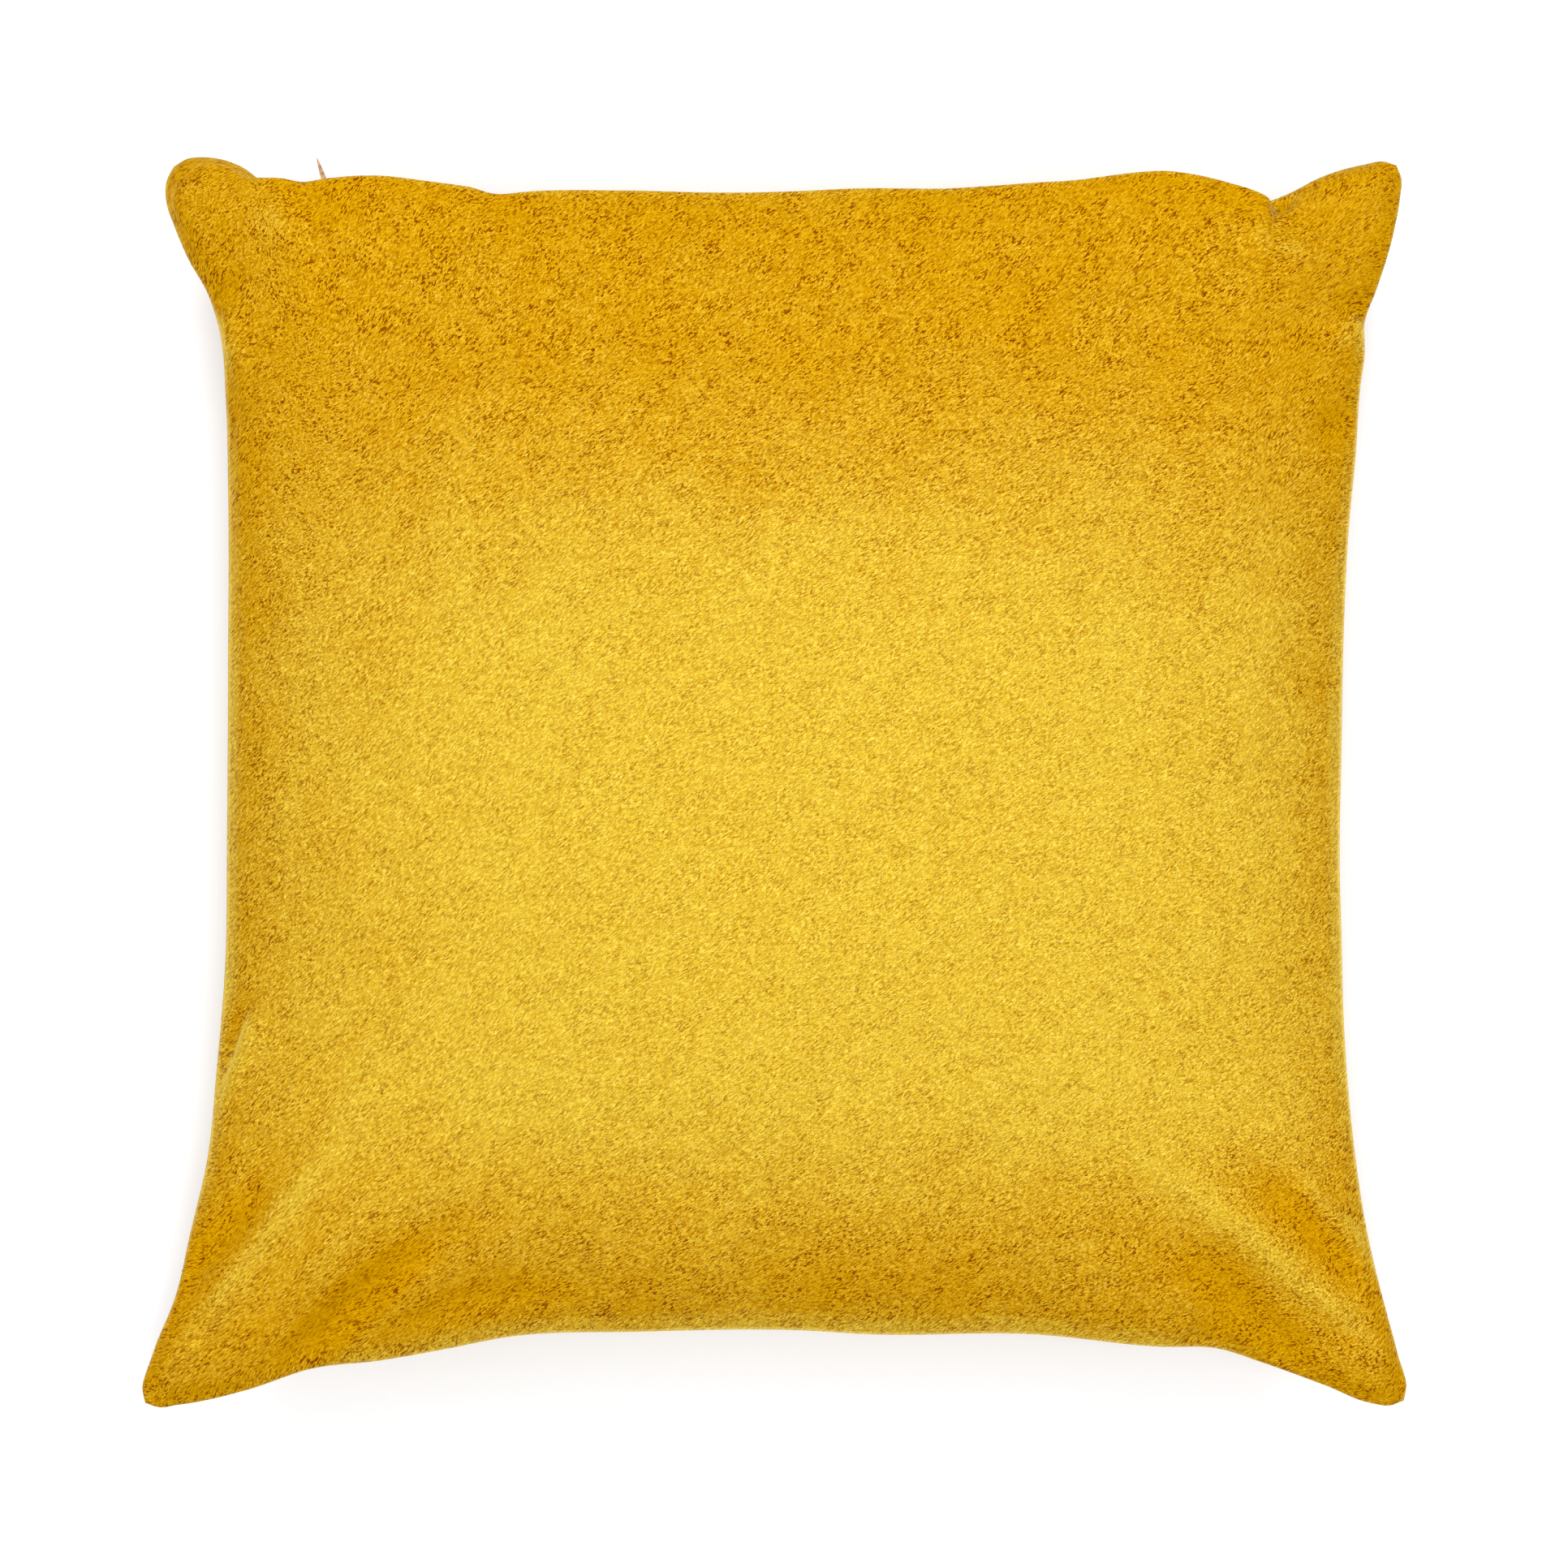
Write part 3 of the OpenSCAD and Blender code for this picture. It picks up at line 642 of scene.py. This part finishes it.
# The tape's section, as (depth in from the zip's folds, height from the seam) in millimetres
TAPE_PROFILE = np.array([
    (2.6, 0.75), (3.0, 0.75), (3.0, 2.5), (3.1, 2.75), (3.35, 2.85), (13, 2.85),
    (13, 3.25), (2.95, 3.25), (2.7, 3.1), (2.6, 2.85),
]) * MM
COIL_PITCH = 11                   # points of the coil's line in each turn
coils, tapes, tape_threads = {}, {}, {}
for side, word in ((1, "front"), (-1, "back")):
    line = straight(-CHAIN, CHAIN, 3.85 * MM, side * 1.2 * MM, 0.00012)
    coils[side] = threads("coil_" + word, [wound(line, 0.00054, side / COIL_PITCH)], 0.00016, 6)
    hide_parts("zip_coil_" + word)
    x = np.linspace(-CHAIN - 0.001, CHAIN + 0.001, 192)
    sides = len(TAPE_PROFILE)
    pts = np.stack([np.repeat(x, sides), np.tile(ZIP_Y - TAPE_PROFILE[:, 0], len(x)),
                    np.tile(SEAM_Z + side * TAPE_PROFILE[:, 1], len(x))], axis=1)
    faces = ring_faces(len(x), sides)
    if side > 0:
        faces = [f[::-1] for f in faces]
    tapes[side] = mesh_object("tape_" + word, pts, faces, False)
    attach(tapes[side], "cloth", "FLOAT_VECTOR", pts * (1, 1, 0))
    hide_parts("zip_tape_" + word)
    rows = []
    for height, way in ((2.55, -1), (4.85, 1)):
        run = straight(0.002 - CHAIN, CHAIN - 0.002, 8 * MM, side * height * MM, 0.0006)
        rows.append(stitched(run, side * way, 0.0025, 0.00006))
    tape_threads[side] = threads("tape_stitches_" + word, rows, 0.0002)
    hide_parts("zip_thread_" + word)

insert_seam = casing_grid[1].reshape(-1, 3)[border(CELLS)]
closed_run = even(ring(insert_seam, 6 * MM, 1.0 * MM, 1), 0.003 / 4, closed=True)
closed_low = even(ring(insert_seam, 6 * MM, 1.0 * MM, -1), 0.003 / 4, closed=True)
insert_thread = threads("casing_stitches", [closed_run, closed_low], 0.00018, 5, closed=True)
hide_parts("insert_seam_thread")

# The label stands up between the cover and the insert, and is left blank.
LABEL_Y, LABEL_W, LABEL_T = -0.070, 0.038, 0.0003
LABEL_X = -0.2195                 # the seam beside the label
casing_tree = BVHTree.FromPolygons(casing_grid[1].reshape(-1, 3).tolist(), grid_faces(CELLS, CELLS).tolist())
depths = np.array([9.9, 11.2, 13.5, 16, 19, 22, 25, 28, 31, 34, 36.5]) * MM
heights = []
for d in depths:
    x = LABEL_X + d
    hi = reach(x, LABEL_Y, 1, inside[1], 0.001)
    lo = casing_tree.ray_cast(Vector((x, LABEL_Y, SEAM_Z)), Vector((0, 0, 1)))[3] or 0.0
    heights.append(max(0.0017, 0.5 * (hi + max(lo, 0.0016))))
heights[:2] = [0.0018, 0.0018]    # where it is sewn in
across = np.linspace(-0.5, 0.5, 20)
line = np.column_stack([LABEL_X + depths, np.zeros(len(depths)), SEAM_Z + np.array(heights)])
line = even(line, 0.0015)
tangent = np.gradient(line, axis=0)
tangent /= np.linalg.norm(tangent, axis=1, keepdims=True)
up = np.cross(tangent, (0.0, 1.0, 0.0)) * -1
wave = 0.0004 * np.sin(across * 9)[None, :] * smooth(np.linspace(0, 1, len(line)))[:, None]
sheet = line[:, None] + np.array([0, 1, 0]) * (LABEL_Y + across * LABEL_W)[None, :, None]
sheet = sheet + up[:, None] * wave[..., None]
under = sheet - up[:, None] * LABEL_T
a, b = sheet.shape[0] - 1, sheet.shape[1] - 1
idx = np.arange((a + 1) * (b + 1)).reshape(a + 1, b + 1)
loop = np.r_[idx[:-1, 0], idx[-1, :-1], idx[:0:-1, -1], idx[0, :0:-1]]
size = (a + 1) * (b + 1)
label = mesh_object("label", np.concatenate([sheet.reshape(-1, 3), under.reshape(-1, 3)]), np.concatenate([
    grid_faces(a, b), grid_faces(a, b, size, flip=True), walls(loop, size)]))
attach(label, "cloth", "FLOAT_VECTOR", np.concatenate([sheet.reshape(-1, 3)] * 2))
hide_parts("care_label")

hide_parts("front_panel")
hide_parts("back_panel")
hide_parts("insert_casing_front")
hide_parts("insert_casing_back")
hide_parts("insert_fill")

# ---------------------------------------------------------------- materials


def link(tree, value, socket):
    if isinstance(value, bpy.types.NodeSocket):
        tree.links.new(value, socket)
    else:
        socket.default_value = value


def calc(tree, op, *values):
    n = tree.nodes.new("ShaderNodeMath")
    n.operation = op
    for value, socket in zip(values, n.inputs):
        link(tree, value, socket)
    return n.outputs[0]


def spread(tree, value, low, high, to_low=0.0, to_high=1.0):
    n = tree.nodes.new("ShaderNodeMapRange")
    n.interpolation_type = "SMOOTHSTEP"
    for value, socket in zip((value, low, high, to_low, to_high), n.inputs):
        link(tree, value, socket)
    return n.outputs[0]


def mixed(tree, share, a, b, kind="MIX"):
    n = tree.nodes.new("ShaderNodeMix")
    n.data_type = "RGBA"
    n.blend_type = kind
    link(tree, share, n.inputs[0])
    for value, socket in ((a, n.inputs[6]), (b, n.inputs[7])):
        link(tree, (*value, 1) if isinstance(value, tuple) else value, socket)
    return n.outputs[2]


def placed(tree, vector, scale, turn=0.0, shift=(0, 0, 0)):
    n = tree.nodes.new("ShaderNodeMapping")
    link(tree, vector, n.inputs["Vector"])
    n.inputs["Location"].default_value = shift
    n.inputs["Scale"].default_value = scale
    n.inputs["Rotation"].default_value = (0, 0, turn)
    return n.outputs[0]


def grain(tree, vector, scale, detail=2.0, rough=0.5):
    n = tree.nodes.new("ShaderNodeTexNoise")
    link(tree, vector, n.inputs["Vector"])
    n.inputs["Scale"].default_value = scale
    n.inputs["Detail"].default_value = detail
    n.inputs["Roughness"].default_value = rough
    return n.outputs[0]


def attribute(tree, name, output):
    n = tree.nodes.new("ShaderNodeAttribute")
    n.attribute_name = name
    return n.outputs[output]


def object_place(tree):
    return tree.nodes.new("ShaderNodeTexCoord").outputs["Object"]


def bump(tree, height, strength, distance, shader):
    n = tree.nodes.new("ShaderNodeBump")
    n.inputs["Strength"].default_value = strength
    n.inputs["Distance"].default_value = distance
    link(tree, height, n.inputs["Height"])
    tree.links.new(n.outputs[0], shader.inputs["Normal"])


def material(name, rough, metal=0.0, specular=0.5):
    m = bpy.data.materials.new(name)
    m.use_nodes = True
    p = m.node_tree.nodes["Principled BSDF"]
    p.inputs["Roughness"].default_value = rough
    p.inputs["Metallic"].default_value = metal
    p.inputs["Specular IOR Level"].default_value = specular
    return m, m.node_tree, p


def waves(tree, value, pitch):
    """A wave from 0 to 1 with one crest at each pitch."""
    wave = calc(tree, "SINE", calc(tree, "MULTIPLY", value, 2 * math.pi / pitch))
    return calc(tree, "MULTIPLY_ADD", wave, 0.5, 0.5)


OFF_LATTICE = (613.3, 471.7, 0.37)   # keeps the noise off the lines where its layers meet
PAINTED_LIT = (0.560, 0.396, 0.028)         # the velvet's colour, paled as painted light on its middle, crests and rim
PAINTED_SHADE = (0.490, 0.256, 0.0004)        # the velvet's colour, deepened as painted shade on slopes, towards the edges and in folds
GLINT = (0.70, 0.54, 0.09)           # painted glints: short pile strokes painted paler, as though they catch the light
SPECK = (0.40, 0.20, 0.05)           # what the dark marks multiply the colour by
SHADED, LIT = (0.68, 0.54, 0.28), (1.22, 1.28, 1.46)   # what the weave and fuzz multiply it by
WEAVE_X, WEAVE_Y = 0.775, 0.97       # the ground weave's pitch in millimetres
NAP = math.radians(-36)              # the way the pile's strokes lie


def velvet():
    m, t, p = material("velvet", 0.9, specular=0.0)
    mm = placed(t, attribute(t, "cloth", "Vector"), (1000, 1000, 1000), shift=OFF_LATTICE)
    wander = t.nodes.new("ShaderNodeTexNoise")
    t.links.new(mm, wander.inputs["Vector"])
    wander.inputs["Scale"].default_value = 0.25
    shift = t.nodes.new("ShaderNodeVectorMath")
    shift.operation = "MULTIPLY_ADD"
    t.links.new(wander.outputs["Color"], shift.inputs[0])
    shift.inputs[1].default_value = (1.2, 1.2, 0)
    t.links.new(mm, shift.inputs[2])
    split = t.nodes.new("ShaderNodeSeparateXYZ")
    t.links.new(shift.outputs[0], split.inputs[0])
    weave = calc(t, "MULTIPLY", waves(t, split.outputs[0], WEAVE_X), waves(t, split.outputs[1], WEAVE_Y))
    turned = placed(t, mm, (1, 1, 1), NAP)
    fuzz = spread(t, grain(t, placed(t, turned, (0.62, 1.9, 1)), 1.1, 5.0, 0.75), 0.35, 0.65)
    streak = grain(t, placed(t, turned, (0.58, 1.7, 1)), 1.0, 1.0, 0.5)
    patch = spread(t, grain(t, mm, 0.09, 2.0), 0.35, 0.62, 0.5, 1.0)
    mottle = grain(t, mm, 0.026, 3.0, 0.55)
    cloud = calc(t, "MULTIPLY", calc(t, "SUBTRACT", mottle, 0.5), 0.65)
    # The mesh's painted light and shade, plus a real mottle in the velvet's tone.
    deep = calc(t, "ADD", attribute(t, "pile", "Fac"), cloud)
    speck = calc(t, "MULTIPLY", spread(t, streak, 0.555, 0.60), patch)
    speck = calc(t, "MULTIPLY", speck, spread(t, deep, 0.0, 1.0, 0.6, 1.0))
    deep = calc(t, "ADD", deep, calc(t, "MULTIPLY", calc(t, "SUBTRACT", 0.5, fuzz), 0.9))
    # Painted light and shade: mixes the lit and shaded copies of the velvet's colour.
    colour = mixed(t, spread(t, deep, -0.15, 1.2), PAINTED_LIT, PAINTED_SHADE)
    # Painted glints: the pile's short strokes, a real grain, are painted paler where the painted light falls.
    dash = spread(t, grain(t, placed(t, turned, (0.6, 1.6, 1)), 1.3, 2.0, 0.6), 0.50, 0.66)
    where_painted_light = calc(t, "MAXIMUM", 0.0, calc(t, "SUBTRACT", 1.0, calc(t, "MULTIPLY", deep, 0.85)))
    painted_glint = calc(t, "MULTIPLY", dash, where_painted_light)
    colour = mixed(t, calc(t, "MULTIPLY", painted_glint, 0.75), colour, GLINT)
    colour = mixed(t, speck, colour, SPECK, "MULTIPLY")
    tone = calc(t, "ADD", calc(t, "MULTIPLY", fuzz, 0.74), calc(t, "MULTIPLY", weave, 0.22))
    colour = mixed(t, 1.0, colour, mixed(t, tone, SHADED, LIT), "MULTIPLY")
    t.links.new(colour, p.inputs["Base Color"])
    p.inputs["Sheen Weight"].default_value = 0.8
    p.inputs["Sheen Roughness"].default_value = 0.2
    p.inputs["Sheen Tint"].default_value = (1.0, 0.78, 0.22, 1)
    hairs = calc(t, "SUBTRACT", fuzz, calc(t, "MULTIPLY", speck, 0.5))
    height = calc(t, "ADD", calc(t, "MULTIPLY", weave, 0.5), hairs)
    bump(t, height, 0.3, 0.0002, p)
    return m


def plain_weave(name, colour, shadow, pitch, rough):
    m, t, p = material(name, rough, specular=0.3)
    mm = placed(t, attribute(t, "cloth", "Vector"), (1000, 1000, 1000), shift=OFF_LATTICE)
    split = t.nodes.new("ShaderNodeSeparateXYZ")
    t.links.new(mm, split.inputs[0])
    across, along = waves(t, split.outputs[0], pitch), waves(t, split.outputs[1], pitch * 1.1)
    weave = calc(t, "MULTIPLY", across, along)
    fuzz = grain(t, mm, 1.4, 2.0)
    tone = calc(t, "ADD", calc(t, "MULTIPLY", weave, 0.6), calc(t, "MULTIPLY", fuzz, 0.5))
    t.links.new(mixed(t, spread(t, tone, 0.05, 0.7), shadow, colour), p.inputs["Base Color"])
    bump(t, tone, 0.5, 0.0001, p)
    return m


def thread_material(name, colour, shadow):
    m, t, p = material(name, 0.55, specular=0.35)
    twist = grain(t, placed(t, object_place(t), (2600, 900, 2600), 0.6), 1.0, 2.0)
    t.links.new(mixed(t, spread(t, twist, 0.35, 0.65), shadow, colour), p.inputs["Base Color"])
    p.inputs["Sheen Weight"].default_value = 0.3
    bump(t, twist, 0.6, 0.0001, p)
    return m


def metal_material(name, bright, dark, rough):
    m, t, p = material(name, rough, metal=1.0)
    where = object_place(t)
    worn = grain(t, where, 420.0, 4.0, 0.6)
    fine = grain(t, placed(t, where, (3000, 900, 3000)), 1.0, 2.0)
    tone = calc(t, "ADD", calc(t, "MULTIPLY", worn, 0.8), calc(t, "MULTIPLY", fine, 0.3))
    t.links.new(mixed(t, spread(t, tone, 0.40, 0.68), dark, bright), p.inputs["Base Color"])
    t.links.new(spread(t, tone, 0.3, 0.8, rough + 0.2, rough - 0.08), p.inputs["Roughness"])
    bump(t, tone, 0.25, 0.00005, p)
    return m


def fibre_material():
    m, t, p = material("fibre", 0.9, specular=0.2)
    where = object_place(t)
    strands = grain(t, placed(t, where, (900, 160, 400), 0.5), 1.0, 5.0, 0.7)
    tufts = grain(t, where, 60.0, 3.0)
    tone = calc(t, "ADD", calc(t, "MULTIPLY", strands, 0.6), calc(t, "MULTIPLY", tufts, 0.5))
    colour = mixed(t, spread(t, tone, 0.3, 0.75), (0.72, 0.72, 0.70), (0.93, 0.93, 0.92))
    t.links.new(colour, p.inputs["Base Color"])
    p.inputs["Sheen Weight"].default_value = 0.4
    bump(t, tone, 0.8, 0.001, p)
    return m


def coil_material():
    m, t, p = material("coil_nylon", 0.3, specular=0.5)
    tone = grain(t, object_place(t), 700.0, 2.0)
    colour = mixed(t, spread(t, tone, 0.3, 0.7), (0.44, 0.22, 0.008), (0.54, 0.30, 0.02))
    t.links.new(colour, p.inputs["Base Color"])
    bump(t, tone, 0.2, 0.00005, p)
    return m


velvet_m = velvet()
thread_m = thread_material("cover_thread", (0.46, 0.26, 0.012), (0.33, 0.16, 0.004))
tape_m = plain_weave("tape_weave", (0.46, 0.25, 0.012), (0.30, 0.14, 0.003), 0.45, 0.7)
label_m = plain_weave("label_satin", (0.80, 0.78, 0.74), (0.66, 0.64, 0.60), 0.25, 0.4)
casing_m = plain_weave("casing_weave", (0.80, 0.78, 0.73), (0.62, 0.60, 0.55), 0.6, 0.8)
coil_m = coil_material()
white_m = thread_material("insert_thread", (0.78, 0.77, 0.74), (0.62, 0.60, 0.56))
fibre_m = fibre_material()
brass_m = metal_material("antique_brass", (0.52, 0.34, 0.16), (0.13, 0.07, 0.03), 0.42)
pull_m = metal_material("pull_brass", (0.50, 0.33, 0.20), (0.24, 0.14, 0.065), 0.5)

PIECES = [
    (cover_front, velvet_m, "velvet"), (cover_back, velvet_m, "velvet"),
    (seam_thread, thread_m, "cover_thread"),
    (overlock[1], thread_m, "cover_thread"), (overlock[-1], thread_m, "cover_thread"),
    (label, label_m, "label"),
    (tapes[1], tape_m, "zip_tape"), (tapes[-1], tape_m, "zip_tape"),
    (coils[1], coil_m, "zip_coil"), (coils[-1], coil_m, "zip_coil"),
    (tape_threads[1], thread_m, "cover_thread"), (tape_threads[-1], thread_m, "cover_thread"),
    (casing[1], casing_m, "casing"), (casing[-1], casing_m, "casing"),
    (insert_thread, white_m, "insert_thread"), (fill, fibre_m, "fill"),
]
for ob, mat, slot in PIECES:
    ob.data.materials.append(mat)
    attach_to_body(ob, PILLOW)

METAL = ["zip_top_stop_front", "zip_top_stop_back", "zip_bottom_stop", "zip_slider_body", "zip_slider_bridge"]
for name in METAL + ["zip_pull_tab"]:
    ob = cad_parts[name]
    ob = bpy.data.objects[ob] if isinstance(ob, str) else ob
    if not ob.material_slots:
        ob.data.materials.append(None)
    for s in ob.material_slots:
        s.material = pull_m if name == "zip_pull_tab" else brass_m
    rounded = ob.modifiers.new("edges", "BEVEL")
    rounded.width = 0.00018 if name == "zip_pull_tab" else 0.00012
    rounded.segments = 2
    rounded.limit_method = "ANGLE"
    rounded.angle_limit = math.radians(30)

# ---------------------------------------------------------------- floor, light and camera

floor = mesh_object("floor", [(-6, -6, 0), (6, -6, 0), (6, 6, 0), (-6, 6, 0)], [(0, 1, 2, 3)], False)
pale = bpy.data.materials.new("floor")
pale.use_nodes = True
q = pale.node_tree.nodes["Principled BSDF"]
q.inputs["Base Color"].default_value = (0.83, 0.85, 0.88, 1)
q.inputs["Roughness"].default_value = 0.9
floor.data.materials.append(pale)
floor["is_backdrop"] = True

world = bpy.data.worlds.new("studio")
scene.world = world
world.use_nodes = True
world.node_tree.nodes["Background"].inputs["Color"].default_value = (1, 1, 1, 1)
world.node_tree.nodes["Background"].inputs["Strength"].default_value = 0.90


def lamp(name, place, target, size, power):
    data = bpy.data.lights.new(name, "AREA")
    data.shape = "RECTANGLE"
    data.size, data.size_y = size
    data.energy = power
    ob = bpy.data.objects.new(name, data)
    scene.collection.objects.link(ob)
    ob.location = place
    ob.rotation_euler = (Vector(target) - Vector(place)).to_track_quat("-Z", "Y").to_euler()


lamp("over", (0.12, -0.52, 2.15), (0.02, -0.03, 0.1), (1.0, 1.0), 24)
lamp("far", (0.0, 1.5, 1.95), (0, 0, 0.0), (3.2, 0.4), 36)

AIM = Vector((0.0033, -0.0023, SEAM_Z))
ELEVATION, DISTANCE = math.radians(87), 1.8
SENSOR, VIEW_WIDTH = 36, 0.628       # the sensor in millimetres, and the width seen at the seam's height
camera = bpy.data.objects.new("camera", bpy.data.cameras.new("camera"))
scene.collection.objects.link(camera)
to_camera = Vector((0, -math.cos(ELEVATION), math.sin(ELEVATION)))
camera.location = AIM + to_camera * DISTANCE
camera.rotation_euler = (-to_camera).to_track_quat("-Z", "Y").to_euler()
camera.data.sensor_width = SENSOR
camera.data.lens = SENSOR * DISTANCE / VIEW_WIDTH
scene.camera = camera
scene.view_settings.view_transform = "Standard"

low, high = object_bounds()
